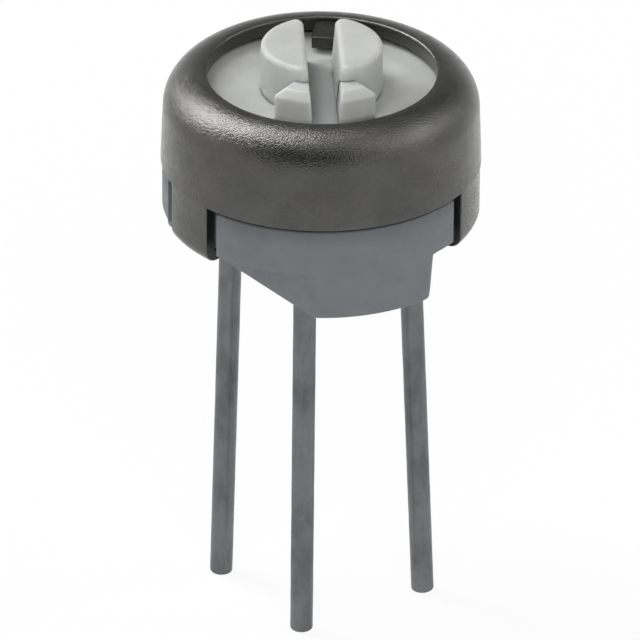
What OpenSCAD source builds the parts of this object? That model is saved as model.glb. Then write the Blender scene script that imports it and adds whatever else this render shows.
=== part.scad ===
// Round single-turn cermet trimmer potentiometer with a crimped metal cap.
// Millimetres. The origin is on the rotor's axis, on the plane where the base
// stands on a circuit board, and +Z points up out of the screwdriver slot.
// Angles about the axis are counted from -Y towards +X.

/* [Cap] */
// Outer diameter of the cap at its lower edge
cap_d = 6.35; // [6:0.05:7.4]
// Height of the cap's rim above the circuit board
body_h = 3.87; // [3.6:0.05:4.4]
// Thickness of the cap's sheet metal
cap_t = 0.25; // [0.2:0.01:0.26]
// Depth of the cap from its rim down to the skirt's lower edge
skirt_depth = 1.92; // [1.8:0.02:2.1]
// How much narrower the wall's radius is at the shoulder than at the edge
cap_flare = 0.05; // [0:0.01:0.06]
// Outer radius of the rounded shoulder
shoulder_r = 0.78; // [0.74:0.01:0.8]
// Distance from the cap's outer edge in to the round opening
rim_w = 0.905; // [0.88:0.005:1]
// Depth of the turned-down lip below the rim
lip_depth = 0.3; // [0.3:0.01:0.34]
// Radius of the curl from the rim into the lip
curl_r = 0.05; // [0.04:0.01:0.06]

/* [Crimp tabs and stop] */
// Angles of the crimp tabs about the axis
tab_angles = [-47, 82, 197];
// Width of each crimp tab
tab_w = 1.27; // [1:0.05:1.5]
// Gap between a tab and the sides of its notch
tab_gap = 0.25; // [0.15:0.05:0.35]
// Length of the foot that is bent in under the base
foot_len = 0.55; // [0.45:0.05:0.6]
// Thinning of the sheet on each face of the bent tabs
tab_inset = 0.01; // [0.005:0.005:0.02]
// Inner radius of the bend above the foot
bend_in_r = 0.05; // [0.04:0.01:0.06]
// Angle of the stop tab about the axis
stop_angle = 184; // [180:0.5:190]
// Width of the stop tab at the opening
stop_w = 0.7; // [0.5:0.05:0.8]
// How far the stop tab lies below the lip's lower edge
stop_drop = 0.02; // [0.01:0.01:0.06]
// How far the stop tab reaches in past the lug's outer face
stop_reach = 0.2; // [0.1:0.01:0.25]

/* [Base] */
// Height of the standoff block below the flange
block_h = 0.95; // [0.7:0.02:1]
// Gap between the flange and the cap's lower edge
skirt_gap = 0.04; // [0.02:0.01:0.1]
// Step from the cap's outer face in to the flange
flange_step = 0.04; // [0.02:0.01:0.1]
// Angles of the block's flat sides about the axis
flat_angles = [-43, 100, 207.5];
// Distances of the block's flat sides from the axis
flat_offsets = [2.06, 2.2, 2.05];
// Draft angle of the flat sides
flat_draft = 4; // [0:0.5:6]
// Clearance between the base's upper wall and the cap
wall_gap = 0.03; // [0.02:0.01:0.06]
// Thickness of the base's upper wall
wall_t = 0.26; // [0.2:0.01:0.3]

/* [Rotor] */
// Gap between the slotted boss and the end of the stop tab
boss_gap = 0.3; // [0.2:0.02:0.4]
// Height of the boss above the rotor's floor
boss_h = 1.0; // [0.8:0.02:1.2]
// Radius of the boss's top edge
boss_edge_r = 0.1; // [0.05:0.01:0.2]
// Depth of the rotor's floor below the cap's rim
floor_depth = 0.4; // [0.38:0.01:0.44]
// Width of the screwdriver slot at its top
slot_top_w = 0.65; // [0.6:0.01:0.75]
// Width of the screwdriver slot at its floor
slot_floor_w = 0.5; // [0.4:0.01:0.6]
// Height of the slot's floor above the rotor's floor
slot_floor_h = 0.04; // [0.02:0.01:0.2]
// Gap between the pointer lug and the edge of the opening
lug_gap = 0.57; // [0.5:0.01:0.6]
// Angle that the pointer lug spans
lug_angle = 73; // [60:1:76]
// Height of the pointer lug above the rotor's floor
lug_h = 0.7; // [0.5:0.02:0.75]
// Bevel along the lug's top edges
lug_bevel = 0.16; // [0.08:0.01:0.2]
// Angle of the pointer about the axis
pointer_angle = 12.5; // [-120:2.5:120]
// Thickness of the rotor's flange
rotor_flange_t = 0.62; // [0.58:0.01:0.66]
// Clearance round the rotor's flange
rotor_gap = 0.06; // [0.04:0.01:0.08]
// Diameter of the rotor's pivot
pivot_d = 0.9; // [0.8:0.02:1]
// Running clearance round the pivot
pivot_gap = 0.05; // [0.03:0.01:0.08]
// Running gap between the rotor and the base's wall
rotor_lift = 0.01; // [0.005:0.005:0.02]

/* [Seal] */
// Clearance on each side of the seal ring
seal_gap = 0.01; // [0.005:0.005:0.015]

/* [Element] */
// Height of the substrate above the standoff block
substrate_rise = 0.6; // [0.54:0.02:0.66]
// Thickness of the ceramic substrate
substrate_t = 0.5; // [0.4:0.02:0.54]
// Clearance round the substrate
substrate_gap = 0.06; // [0.05:0.01:0.1]
// Thickness of the printed films
film_t = 0.03; // [0.02:0.01:0.04]
// Middle radius of the resistive track as a share of the substrate's radius
track_share = 0.713; // [0.7:0.001:0.73]
// Width of the resistive track
track_w = 0.5; // [0.44:0.02:0.54]
// Angle that the resistive track spans
track_angle = 240; // [220:5:250]
// Angle by which each end film overlaps the track
pad_angle = 12; // [8:1:14]
// Width of the end films along the substrate's rim
film_rim = 0.3; // [0.26:0.01:0.32]
// Middle radius of the collector ring as a share of the substrate's radius
collector_share = 0.396; // [0.38:0.002:0.41]
// Width of the collector ring
collector_w = 0.36; // [0.3:0.02:0.4]

/* [Wiper] */
// Thickness of the wiper's spring sheet
wiper_t = 0.06; // [0.05:0.005:0.08]
// Width of each spring finger
finger_w = 0.09; // [0.07:0.005:0.11]
// Pitch of the spring fingers
finger_pitch = 0.13; // [0.12:0.005:0.14]
// Length of the fingers from their root to the contact
finger_run = 0.95; // [0.8:0.05:1]
// Length of the flat part behind the contact
finger_root = 0.35; // [0.3:0.05:0.4]
// Gap that is left between a contact and its film
contact_gap = 0.005; // [0.005:0.005:0.01]
// Width of the wing that carries the fingers
wing_w = 0.4; // [0.3:0.02:0.44]
// How far the wing reaches past the axis on the other side
wing_back = 0.3; // [0.2:0.02:0.4]
// Clearance of the wiper on the pivot
hub_gap = 0.01; // [0.005:0.005:0.02]

/* [Pins] */
// Diameter of the round pins
pin_d = 0.46; // [0.4:0.01:0.5]
// Length of the pins below the circuit board plane
pin_length = 7.7; // [3:0.1:10]
// Grid pitch of the pins
pin_pitch = 2.54; // [2.5:0.01:2.6]
// Outward lean of each pin below the base
pin_leans = [1.4, 1.3, 2.5];
// Diameter of the pins' nail heads
head_d = 0.8; // [0.7:0.02:0.9]
// Thickness of the pins' nail heads
head_t = 0.18; // [0.14:0.01:0.22]
// How much thicker the pins' radius is inside the base
shank_extra = 0.02; // [0.01:0.01:0.04]
// Clearance round the pins in the base
pin_gap = 0.01; // [0.005:0.005:0.02]
// Clearance round the nail heads
head_gap = 0.06; // [0.04:0.01:0.08]
// Thickness of the solder between a nail head and its film
joint_t = 0.08; // [0.06:0.01:0.1]
// Diameter of the sealing bead round each pin
bead_d = 0.8; // [0.7:0.02:0.84]
// Depth of the sealing bead
bead_t = 0.14; // [0.1:0.02:0.2]

/* [Hidden] */
$fn = 96;
// Overshoot of cutters past the faces that they cut
over = 0.5;
// Cap
cap_r = cap_d / 2;
opening_r = cap_r - rim_w;
skirt_z = body_h - skirt_depth;
shoulder_z = body_h - shoulder_r;
lip_z = body_h - lip_depth;
lip_outer_r = opening_r + cap_t;
tab_angle = 2 * asin(tab_w / 2 / cap_r);
gap_angle = asin(tab_gap / cap_r);
foot_r = cap_r - foot_len;
tab_t = cap_t - 2 * tab_inset;
bend_r = tab_t + bend_in_r;
stop_z = lip_z - stop_drop;
lug_r = opening_r - lug_gap;
stop_r = lug_r - stop_reach;
// Base
flange_z = block_h;
foot_z = flange_z - cap_t;
flange_t = skirt_z - skirt_gap - flange_z;
flange_r = cap_r - flange_step;
notch_r = cap_r - cap_t - wall_gap;
wall_r = notch_r - cap_flare;
cavity_r = wall_r - wall_t;
// Rotor
boss_r = stop_r - boss_gap;
floor_z = body_h - floor_depth;
rotor_z = floor_z - rotor_flange_t;
rotor_r = cap_r - cap_t - cap_flare - rotor_gap;
seat_r = lip_outer_r - rotor_gap;
wall_top = rotor_z - rotor_lift;
pivot_r = pivot_d / 2;
// Seal ring
seal_d = cap_r - cap_flare - cap_t - lip_outer_r - 2 * seal_gap;
seal_r = lip_outer_r + seal_gap + seal_d / 2;
seat_z = shoulder_z - seal_d / 2 + seal_gap;
seal_z = seat_z + seal_gap + seal_d / 2;
// Element
substrate_r = cavity_r - substrate_gap;
substrate_z = block_h + substrate_rise;
substrate_top = substrate_z + substrate_t;
film_top = substrate_top + film_t;
end_angle = 180 - track_angle / 2;
rim_r = substrate_r - film_rim;
track_r = track_share * substrate_r;
collector_r = collector_share * substrate_r;
// Pins
pin_r = pin_d / 2;
pin_circle_r = pin_pitch / sqrt(2);
pin_angles = [-90, 0, 90];
head_pocket_r = head_d / 2 + head_gap;
head_z = substrate_z - film_t - joint_t - head_t;
shank_r = pin_r + shank_extra;
elbow_z = bead_t / 2;
// Wiper
hub_h = (rotor_z - film_top) / 3;
wiper_z = rotor_z - hub_h;

// Turns its children from -Y to an angle about the axis
module at_angle(a) {
    rotate([0, 0, a]) children();
}

// Revolved section that spans an angle and is centred on -Y
module sector(span) {
    rotate([0, 0, -90 - span / 2])
        rotate_extrude(angle = span)
            children();
}

// Flat ring segment centred on -Y
module ring_segment(r_in, r_out, z, t, span) {
    sector(span)
        translate([r_in, z])
            square([r_out - r_in, t]);
}

// Upright bar that reaches from the axis towards -Y
module radial_bar(r_in, r_out, w, z, h) {
    translate([-w / 2, -r_out, z])
        cube([w, r_out - r_in, h]);
}

// Half section of a drawn cup with a flared wall and a rounded shoulder
module cup_section(r_edge, r_wall, corner, top) {
    polygon([[0, skirt_z], [r_edge, skirt_z], [r_wall, shoulder_z],
        [r_wall - corner, top], [0, top]]);
    translate([r_wall - corner, shoulder_z])
        circle(corner);
}

module cap_section() {
    r_wall = cap_r - cap_flare;
    difference() {
        cup_section(cap_r, r_wall, shoulder_r, body_h);
        difference() {
            cup_section(cap_r - cap_t, r_wall - cap_t, shoulder_r - cap_t, body_h - cap_t);
            translate([opening_r, lip_z])
                square([cap_t, lip_depth]);
        }
        translate([-over, skirt_z - over])
            square([opening_r + over, body_h]);
        translate([-over, skirt_z - shoulder_r])
            square([cap_r + over, shoulder_r]);
        translate([opening_r, body_h - curl_r])
            difference() {
                translate([-over, 0])
                    square([curl_r + over, curl_r + over]);
                translate([curl_r, 0])
                    circle(curl_r);
            }
    }
}

// Section of a crimp tab with its foot bent in under the base
module tab_section() {
    bend_x = cap_r - tab_inset - bend_r;
    translate([bend_x + bend_r - tab_t, foot_z + bend_r])
        square([tab_t, skirt_z - foot_z - bend_r + cap_t / 2]);
    translate([foot_r, foot_z])
        square([bend_x - foot_r, tab_t]);
    translate([bend_x, foot_z + bend_r])
        intersection() {
            difference() {
                circle(bend_r);
                circle(bend_r - tab_t);
            }
            translate([0, -bend_r])
                square(bend_r);
        }
}

module cap() {
    color([0.62, 0.6, 0.56]) {
        rotate_extrude()
            cap_section();
        for (a = tab_angles)
            at_angle(a)
                sector(tab_angle)
                    tab_section();
        at_angle(stop_angle)
            radial_bar(stop_r, opening_r + cap_t / 2, stop_w, stop_z, cap_t);
    }
}

// Half space beyond one drafted flat side of the block
module beyond_flat(offset_r) {
    translate([-cap_d, -offset_r, flange_z])
        rotate([flat_draft, 0, 0])
            translate([0, -cap_d, -cap_d])
                cube([2 * cap_d, cap_d, 2 * cap_d]);
}

module block() {
    difference() {
        cylinder(r = flange_r, h = flange_z);
        for (i = [0 : len(flat_angles) - 1])
            at_angle(flat_angles[i])
                beyond_flat(flat_offsets[i]);
    }
}

// Notch in the flange that a crimp tab passes through
module tab_notch() {
    ring_segment(notch_r, cap_r + over, flange_z - over, flange_t + 2 * over,
        tab_angle + 2 * gap_angle);
}

// Flange below the cap and the wall that rises inside the cap
module flange() {
    difference() {
        union() {
            translate([0, 0, flange_z])
                cylinder(r = flange_r, h = flange_t);
            translate([0, 0, flange_z + flange_t / 2])
                cylinder(r = wall_r, h = wall_top - flange_z - flange_t / 2);
        }
        for (a = tab_angles)
            at_angle(a)
                tab_notch();
    }
}

module base() {
    color([0.86, 0.87, 0.88])
        difference() {
            union() {
                block();
                flange();
            }
            translate([0, 0, substrate_z - film_t])
                cylinder(r = cavity_r, h = body_h);
            for (a = pin_angles)
                at_angle(a)
                    translate([0, -pin_circle_r, 0]) {
                        translate([0, 0, -over])
                            cylinder(r = shank_r + pin_gap, h = body_h);
                        translate([0, 0, head_z])
                            cylinder(r = head_pocket_r, h = body_h);
                        translate([0, 0, -over])
                            cylinder(r = bead_d / 2, h = bead_t + over);
                    }
        }
}

// Slotted boss with a rounded top edge
module boss() {
    rotate_extrude() {
        square([boss_r, boss_h - boss_edge_r]);
        square([boss_r - boss_edge_r, boss_h]);
        translate([boss_r - boss_edge_r, boss_h - boss_edge_r])
            intersection() {
                circle(boss_edge_r);
                square(boss_edge_r);
            }
    }
}

// Cutter for the bevel along one side of the pointer lug
module side_bevel(side) {
    at_angle(side * lug_angle / 2)
        translate([0, 0, lug_h - lug_bevel])
            rotate([0, -side * 45, 0])
                translate([side > 0 ? 0 : -cap_r, -cap_r, 0])
                    cube([cap_r, cap_r, cap_r]);
}

// Stop lug that also shows where the wiper stands
module pointer_lug() {
    difference() {
        sector(lug_angle)
            polygon([[0, 0], [lug_r, 0], [lug_r, lug_h - lug_bevel],
                [lug_r - lug_bevel, lug_h], [0, lug_h]]);
        side_bevel(1);
        side_bevel(-1);
    }
}

module driver_slot() {
    rotate([90, 0, 0])
        linear_extrude(height = cap_d, center = true)
            polygon([[-slot_floor_w / 2, slot_floor_h], [slot_floor_w / 2, slot_floor_h],
                [slot_top_w / 2, boss_h], [slot_top_w / 2, boss_h + over],
                [-slot_top_w / 2, boss_h + over], [-slot_top_w / 2, boss_h]]);
}

module rotor() {
    color([0.93, 0.94, 0.94])
        at_angle(pointer_angle) {
            translate([0, 0, floor_z])
                difference() {
                    union() {
                        boss();
                        pointer_lug();
                    }
                    driver_slot();
                }
            translate([0, 0, rotor_z])
                cylinder(r = rotor_r, h = seat_z - rotor_z);
            translate([0, 0, rotor_z])
                cylinder(r = seat_r, h = rotor_flange_t);
            translate([0, 0, wiper_z + wiper_t])
                cylinder(r = collector_r, h = hub_h - wiper_t);
            translate([0, 0, substrate_z + pivot_gap])
                cylinder(r = pivot_r, h = rotor_z - substrate_z - pivot_gap);
        }
}

module seal_ring() {
    color([0.55, 0.2, 0.15])
        rotate_extrude()
            translate([seal_r, seal_z])
                circle(seal_d / 2, $fn = 32);
}

// One spring finger that slopes down along +X to its contact point at x = 0
module finger() {
    drop = wiper_z - film_top;
    rotate([90, 0, 0])
        linear_extrude(height = finger_w, center = true)
            polygon([[-finger_run, drop], [-finger_root, 1.5 * wiper_t],
                [-wiper_t, contact_gap], [wiper_t, contact_gap],
                [2.5 * wiper_t, 1.5 * wiper_t], [2.5 * wiper_t, 2.5 * wiper_t],
                [wiper_t / 2, contact_gap + wiper_t], [-wiper_t, contact_gap + wiper_t],
                [-finger_root, 2.6 * wiper_t], [-finger_run, drop + wiper_t]]);
}

module wiper() {
    color([0.85, 0.72, 0.45])
        at_angle(pointer_angle) {
            translate([0, 0, wiper_z])
                difference() {
                    union() {
                        cylinder(r = collector_r, h = wiper_t);
                        translate([-finger_run - wing_w, -wing_back, 0])
                            cube([wing_w, wing_back + track_r + track_w / 2, wiper_t]);
                    }
                    translate([0, 0, -over])
                        cylinder(r = pivot_r + hub_gap, h = 2 * over);
                }
            for (i = [-1.5 : 1.5])
                translate([0, track_r + i * finger_pitch, film_top])
                    finger();
            for (i = [-0.5, 0.5])
                translate([0, collector_r + i * finger_pitch, film_top])
                    finger();
        }
}

module substrate() {
    color([0.96, 0.96, 0.93])
        translate([0, 0, substrate_z])
            difference() {
                cylinder(r = substrate_r, h = substrate_t);
                translate([0, 0, -over])
                    cylinder(r = pivot_r + pivot_gap, h = substrate_t + 2 * over);
            }
}

module resistor_track() {
    color([0.12, 0.12, 0.13])
        at_angle(180)
            ring_segment(track_r - track_w / 2, track_r + track_w / 2, substrate_top, film_t,
                track_angle);
}

// Film that runs out over the substrate, round its edge and back under it
module wrapped_film(r_in, span) {
    r_under = pin_circle_r - pin_r;
    sector(span)
        difference() {
            translate([min(r_in, r_under), substrate_z - film_t])
                square([substrate_r + film_t - min(r_in, r_under), substrate_t + 2 * film_t]);
            translate([0, substrate_z])
                square([substrate_r, substrate_t]);
            translate([0, substrate_top - over / 4])
                square([r_in, over]);
            translate([0, substrate_z - over])
                square([r_under, over]);
        }
}

module end_pad(side) {
    color([0.78, 0.78, 0.76]) {
        at_angle(side * (end_angle - pad_angle / 2))
            ring_segment(track_r - track_w / 2, rim_r + film_t, substrate_top, film_t, pad_angle);
        at_angle(side * (90 + end_angle - pad_angle) / 2)
            wrapped_film(rim_r, 90 - end_angle + 2 * pad_angle);
    }
}

module collector_ring() {
    color([0.78, 0.78, 0.76]) {
        ring_segment(collector_r - collector_w / 2, collector_r + collector_w / 2,
            substrate_top, film_t, 360);
        wrapped_film(collector_r, pad_angle);
    }
}

// Pin with a nail head and a shank in the base and a leg that leans out
module pin(i) {
    leg = pin_length + elbow_z;
    color([0.72, 0.72, 0.7])
        at_angle(pin_angles[i])
            translate([0, -pin_circle_r, 0]) {
                translate([0, 0, head_z])
                    cylinder(d = head_d, h = head_t);
                translate([0, 0, elbow_z])
                    cylinder(r = shank_r, h = head_z - elbow_z);
                translate([0, 0, elbow_z])
                    rotate([-pin_leans[i], 0, 0])
                        translate([0, 0, -leg])
                            cylinder(r = pin_r, h = leg + bead_t);
            }
}

// Solder between a pin's head and the film under the substrate
module solder_joint(i) {
    color([0.66, 0.66, 0.68])
        at_angle(pin_angles[i])
            translate([0, -pin_circle_r, head_z + head_t])
                cylinder(d = head_d - joint_t, h = joint_t);
}

// Sealing bead in the base's lower face round a pin
module bead(i) {
    color([0.3, 0.32, 0.3])
        at_angle(pin_angles[i])
            translate([0, -pin_circle_r, 0])
                difference() {
                    cylinder(d = bead_d, h = bead_t);
                    translate([0, 0, -over])
                        cylinder(r = shank_r + pin_gap, h = bead_t + 2 * over);
                }
}

cap();
base();
rotor();
seal_ring();
wiper();
substrate();
resistor_track();
collector_ring();
end_pad(-1);  // end_pad_1
end_pad(1);  // end_pad_3
pin(0);  // pin_1
pin(1);  // pin_2
pin(2);  // pin_3
solder_joint(0);  // joint_1
solder_joint(1);  // joint_2
solder_joint(2);  // joint_3
bead(0);  // bead_1
bead(1);  // bead_2
bead(2);  // bead_3
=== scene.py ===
"""Looks of a round single-turn trimmer potentiometer with a crimped metal cap.

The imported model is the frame. The cap, base, rotor, pins and sealing beads are built
here as fine meshes that stand for their CAD nodes, and the pieces inside the housing
keep their CAD meshes with better materials.

Shapes are worked out in millimetres. Angles about the rotor's axis are counted from
-Y towards +X. The stage is laid out in metres.
"""

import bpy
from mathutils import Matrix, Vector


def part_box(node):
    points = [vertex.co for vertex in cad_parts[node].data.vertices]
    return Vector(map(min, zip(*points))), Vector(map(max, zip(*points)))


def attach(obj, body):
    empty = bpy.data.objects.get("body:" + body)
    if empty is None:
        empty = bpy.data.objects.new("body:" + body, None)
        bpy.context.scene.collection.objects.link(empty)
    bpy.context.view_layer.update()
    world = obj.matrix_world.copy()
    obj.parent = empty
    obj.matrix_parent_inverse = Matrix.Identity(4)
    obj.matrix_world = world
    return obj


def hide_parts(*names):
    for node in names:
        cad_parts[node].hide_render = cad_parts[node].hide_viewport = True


bl_info = {
    "name": "Crimped-Cap Trimmer Potentiometer",
    "version": (1, 0, 0),
    "blender": (4, 5, 0),
    "location": "View3D > Sidebar > Trimmer",
    "description": "Builds the visible pieces, materials and stage of a cermet trimmer",
    "category": "Add Mesh",
}

import math
from types import SimpleNamespace

import bmesh
import bpy
from bpy.props import FloatProperty, FloatVectorProperty, IntProperty, PointerProperty
from mathutils import Matrix, Vector, noise

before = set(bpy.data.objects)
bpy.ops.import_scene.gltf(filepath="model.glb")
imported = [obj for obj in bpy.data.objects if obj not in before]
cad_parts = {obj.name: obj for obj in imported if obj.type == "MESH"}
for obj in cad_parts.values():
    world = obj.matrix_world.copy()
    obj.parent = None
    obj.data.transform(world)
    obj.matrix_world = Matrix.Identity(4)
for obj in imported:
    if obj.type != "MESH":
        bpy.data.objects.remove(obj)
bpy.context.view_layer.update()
CAP_LOW, CAP_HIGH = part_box("cap")
PIN_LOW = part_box("pin_1")[0]

MM = 0.001

# Crimp tabs, and flat sides of the standoff block with their distance from the axis
TAB_ANGLES = (-47, 82, 197)
FLAT_ANGLES = (-43, 100, 207.5)
FLAT_OFFSETS = (2.06, 2.2, 2.05)

# Place of each pin about the axis and its outward lean, in degrees
PIN_ANGLES = (-90, 0, 90)
PIN_LEANS = (1.4, 1.3, 2.5)

# Unevenness of the worked metal in millimetres, kept within the CAD size by its room
CRIMP_BULGE = 0.006
SHEET_WAVE = 0.004
SHEET_WAVE_ROOM = 0.003
PIN_WEAR = 0.003

# Clearance of a hole round its pin, and the least rounding of a corner, in millimetres
HOLE_GAP = 0.01
LEAST_CORNER = 0.012

# Angle in degrees from which an edge is rounded, and steps of the meshes
SHARP_EDGE = 40
ROTOR_COLUMNS = 240
PIN_SIDES = 56
PIN_STEPS = 90

# Width of the picture that the focal length is given for
FRAME_PX = 640

# Stage in metres: place, width and height of each lamp and card
KEY_SOFTBOX = ((-0.247, 0.095, 0.274), 0.12, 0.44)
GLINT_SOFTBOX = ((-0.252, 0.097, 0.280), 0.12, 0.44)
FILL_SOFTBOX = ((0.28, 0.07, 0.23), 0.24, 0.12)
FRONT_SOFTBOX = ((0.06, -0.3, 0.22), 0.3, 0.2)
LENS_CARD = ((-0.016, -0.181, 0.123), 0.3, 0.16)
FAR_CARD = ((-0.074, 0.444, 0.315), 1.3, 0.62)
LAMP_AIM = (0, 0, 0.002)
FLOOR_HALF = 2
FLOOR_GAP = 0.00001
FLOOR_WHITE = 0.93


# ---------------------------------------------------------------- settings


def length(name, description, default_mm):
    """A length setting, given in millimetres and kept in metres."""
    return FloatProperty(
        name=name, description=description, default=default_mm * MM,
        min=0.0, precision=6, unit="LENGTH", subtype="DISTANCE")


def angle(name, description, default_degrees):
    """An angle setting, given in degrees and kept in radians."""
    return FloatProperty(
        name=name, description=description, default=math.radians(default_degrees),
        unit="ROTATION", subtype="ANGLE")


def colour(name, description, default):
    return FloatVectorProperty(
        name=name, description=description, default=default,
        size=3, min=0.0, max=1.0, subtype="COLOR")


def factor(name, description, default):
    return FloatProperty(
        name=name, description=description, default=default,
        min=0.0, max=1.0, subtype="FACTOR")


class CapSizes(bpy.types.PropertyGroup):
    radius: length("Radius", "Outer radius of the cap at its lower edge", CAP_HIGH[0] / MM)
    rim_z: length("Rim height", "Height of the rim above the circuit board", CAP_HIGH[2] / MM)
    sheet: length("Sheet", "Thickness of the sheet metal", 0.25)
    skirt_depth: length("Skirt depth", "Depth from the rim to the skirt's edge", 1.92)
    flare: length("Flare", "How much narrower the wall is at the shoulder", 0.05)
    shoulder: length("Shoulder", "Outer radius of the rounded shoulder", 0.78)
    rim_width: length("Rim width", "Distance from the outer edge to the opening", 0.905)
    lip_depth: length("Lip depth", "Depth of the turned-down lip", 0.3)
    curl: length("Curl", "Radius of the curl from the rim into the lip", 0.05)
    tab_width: length("Tab width", "Width of each crimp tab", 1.27)
    tab_gap: length("Tab gap", "Gap between a tab and its notch", 0.25)
    foot: length("Foot", "Length of the foot bent in under the base", 0.55)
    bend: length("Bend", "Inner radius of the bend above the foot", 0.05)
    tab_inset: length("Tab inset", "Thinning of the sheet on each face of the tabs", 0.01)
    stop_angle: angle("Stop angle", "Angle of the stop tab about the axis", 184)
    stop_width: length("Stop width", "Width of the stop tab at the opening", 0.7)
    stop_radius: length("Stop radius", "Distance of the stop tab's end from the axis", 1.5)
    stop_drop: length("Stop drop", "How far the stop tab lies below the lip", 0.02)


class BaseSizes(bpy.types.PropertyGroup):
    block_height: length("Block height", "Height of the standoff block", 0.95)
    skirt_gap: length("Skirt gap", "Gap between the flange and the skirt", 0.04)
    flange_step: length("Flange step", "Step from the cap in to the flange", 0.04)
    draft: angle("Draft", "Draft of the block's flat sides", 4)
    corner: length("Corner", "Rounding of the block's upright corners", 0.12)
    edge: length("Edge", "Rounding of the moulded edges", 0.05)
    wall_gap: length("Wall gap", "Clearance between the base and the cap", 0.03)
    wall: length("Wall", "Thickness of the upper wall", 0.26)
    pocket_z: length("Pocket height", "Height of the element pocket's floor", 1.52)
    wall_top: length("Wall top", "Height of the upper wall's end", 2.84)


class RotorSizes(bpy.types.PropertyGroup):
    floor_z: length("Floor height", "Height of the rotor's floor", 3.47)
    flange: length("Flange", "Thickness of the rotor's flange", 0.62)
    flange_gap: length("Flange gap", "Clearance round the rotor's flange", 0.06)
    seat_z: length("Seat height", "Height of the seal ring's seat", 2.9325)
    hub_radius: length("Hub radius", "Radius of the hub above the wiper", 0.979)
    hub_z: length("Hub height", "Height of the hub's lower face", 2.6533)
    pivot_radius: length("Pivot radius", "Radius of the pivot", 0.45)
    pivot_z: length("Pivot height", "Height of the pivot's lower end", 1.6)
    boss_radius: length("Boss radius", "Radius of the slotted boss", 1.2)
    boss_height: length("Boss height", "Height of the boss above the floor", 1.0)
    boss_edge: length("Boss edge", "Rounding of the boss's top edge", 0.11)
    slot_top: length("Slot top", "Width of the slot at its top", 0.65)
    slot_floor: length("Slot floor", "Width of the slot at its floor", 0.5)
    slot_rise: length("Slot rise", "Height of the slot's floor above the rotor's", 0.04)
    lug_radius: length("Lug radius", "Radius of the pointer lug's outer face", 1.7)
    lug_height: length("Lug height", "Height of the pointer lug", 0.7)
    lug_bevel: length("Lug bevel", "Bevel along the lug's top edges", 0.16)
    lug_angle: angle("Lug angle", "Angle that the pointer lug spans", 73)
    pointer: angle("Pointer", "Angle of the pointer about the axis", 12.5)


class PinSizes(bpy.types.PropertyGroup):
    radius: length("Radius", "Radius of the round pins", 0.23)
    reach: length("Reach", "Length of the pins below the circuit board plane", -PIN_LOW[2] / MM)
    pitch: length("Pitch", "Grid pitch of the pins", 2.54)
    head_radius: length("Head radius", "Radius of the nail heads", 0.4)
    head_top: length("Head top", "Height of the nail heads' upper face", 1.44)
    head: length("Head", "Thickness of the nail heads", 0.18)
    shank_radius: length("Shank radius", "Radius of the shanks inside the base", 0.25)
    bead_radius: length("Bead radius", "Radius of the sealing beads", 0.4)
    bead: length("Bead", "Depth of the sealing beads", 0.14)
    elbow: length("Elbow", "Height at which the pins begin to lean", 0.07)
    tip_edge: length("Tip edge", "Rounding of the cut tips", 0.05)


class TrimmerFinishes(bpy.types.PropertyGroup):
    cap: colour("Cap", "Blasted, nickel-plated sheet", (0.090, 0.089, 0.086))
    cap_stain: colour("Cap stain", "Darker tarnish of the sheet", (0.05, 0.049, 0.047))
    cap_roughness: factor("Cap roughness", "Roughness of the blasted sheet", 0.16)
    base: colour("Base", "Moulded plastic of the base", (0.147, 0.155, 0.168))
    rotor: colour("Rotor", "Moulded plastic of the rotor", (0.51, 0.519, 0.50))
    pin: colour("Pins", "Dull tin plating", (0.168, 0.174, 0.178))
    pin_stain: colour("Pin stain", "Tarnish of the tin", (0.118, 0.122, 0.124))
    pin_roughness: factor("Pin roughness", "Roughness of the tin", 0.38)
    seal: colour("Seal", "Silicone rubber of the seal ring", (0.045, 0.045, 0.05))
    contact: colour("Contact", "Rolled alloy of the wiper", (0.80, 0.66, 0.38))
    alumina: colour("Alumina", "Fired ceramic of the substrate", (0.90, 0.90, 0.86))
    track: colour("Track", "Printed resistive film", (0.06, 0.06, 0.07))
    conductor: colour("Conductor", "Printed conductor film", (0.66, 0.66, 0.64))
    solder: colour("Solder", "Solder under the substrate", (0.55, 0.56, 0.57))
    epoxy: colour("Epoxy", "Sealing beads round the pins", (0.20, 0.21, 0.20))


class StageSettings(bpy.types.PropertyGroup):
    azimuth: angle("Azimuth", "Direction of the camera about the object", 9.5)
    pitch: angle("Pitch", "How far the camera looks down", 28.73)
    roll: angle("Roll", "Roll of the camera", 0.4)
    distance: length("Distance", "Level distance of the camera from the axis", 180.09)
    height: length("Height", "Height of the camera above the circuit board plane", 96.98)
    focal_px: FloatProperty(
        name="Focal length", description="Focal length in pixels of a 640 pixel frame",
        default=10318.8, min=100.0)
    shift_px: FloatProperty(
        name="Shift", description="Pixels by which the axis lies right of the middle",
        default=-0.2)
    key_power: FloatProperty(
        name="Key power", description="Power of the key softbox", default=1.4, min=0.0,
        unit="POWER")
    glint_power: FloatProperty(
        name="Glint power", description="Power of the softbox that only lights the sheen",
        default=0.8, min=0.0, unit="POWER")
    fill_power: FloatProperty(
        name="Fill power", description="Power of the fill softbox", default=0.28, min=0.0,
        unit="POWER")
    front_power: FloatProperty(
        name="Front power", description="Power of the front softbox", default=0.6, min=0.0,
        unit="POWER")
    horizon: factor("Horizon", "Level of the soft light from the front", 0.65)
    far_horizon: factor("Far horizon", "Level of the soft light from behind", 0.33)
    zenith: factor("Zenith", "Level of the soft light from above", 0.0)
    floor: colour("Floor", "Pale floor", (0.86, 0.86, 0.86))
    lens_card: colour("Lens card", "Dark card beside the lens, for the metal to mirror",
                      (0.03, 0.03, 0.03))
    far_card: colour("Far card", "Grey card behind the object, for the metal to mirror",
                     (0.56, 0.56, 0.56))
    columns: IntProperty(
        name="Columns", description="Steps round the object in turned shapes",
        default=360, min=24, max=720)


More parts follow.
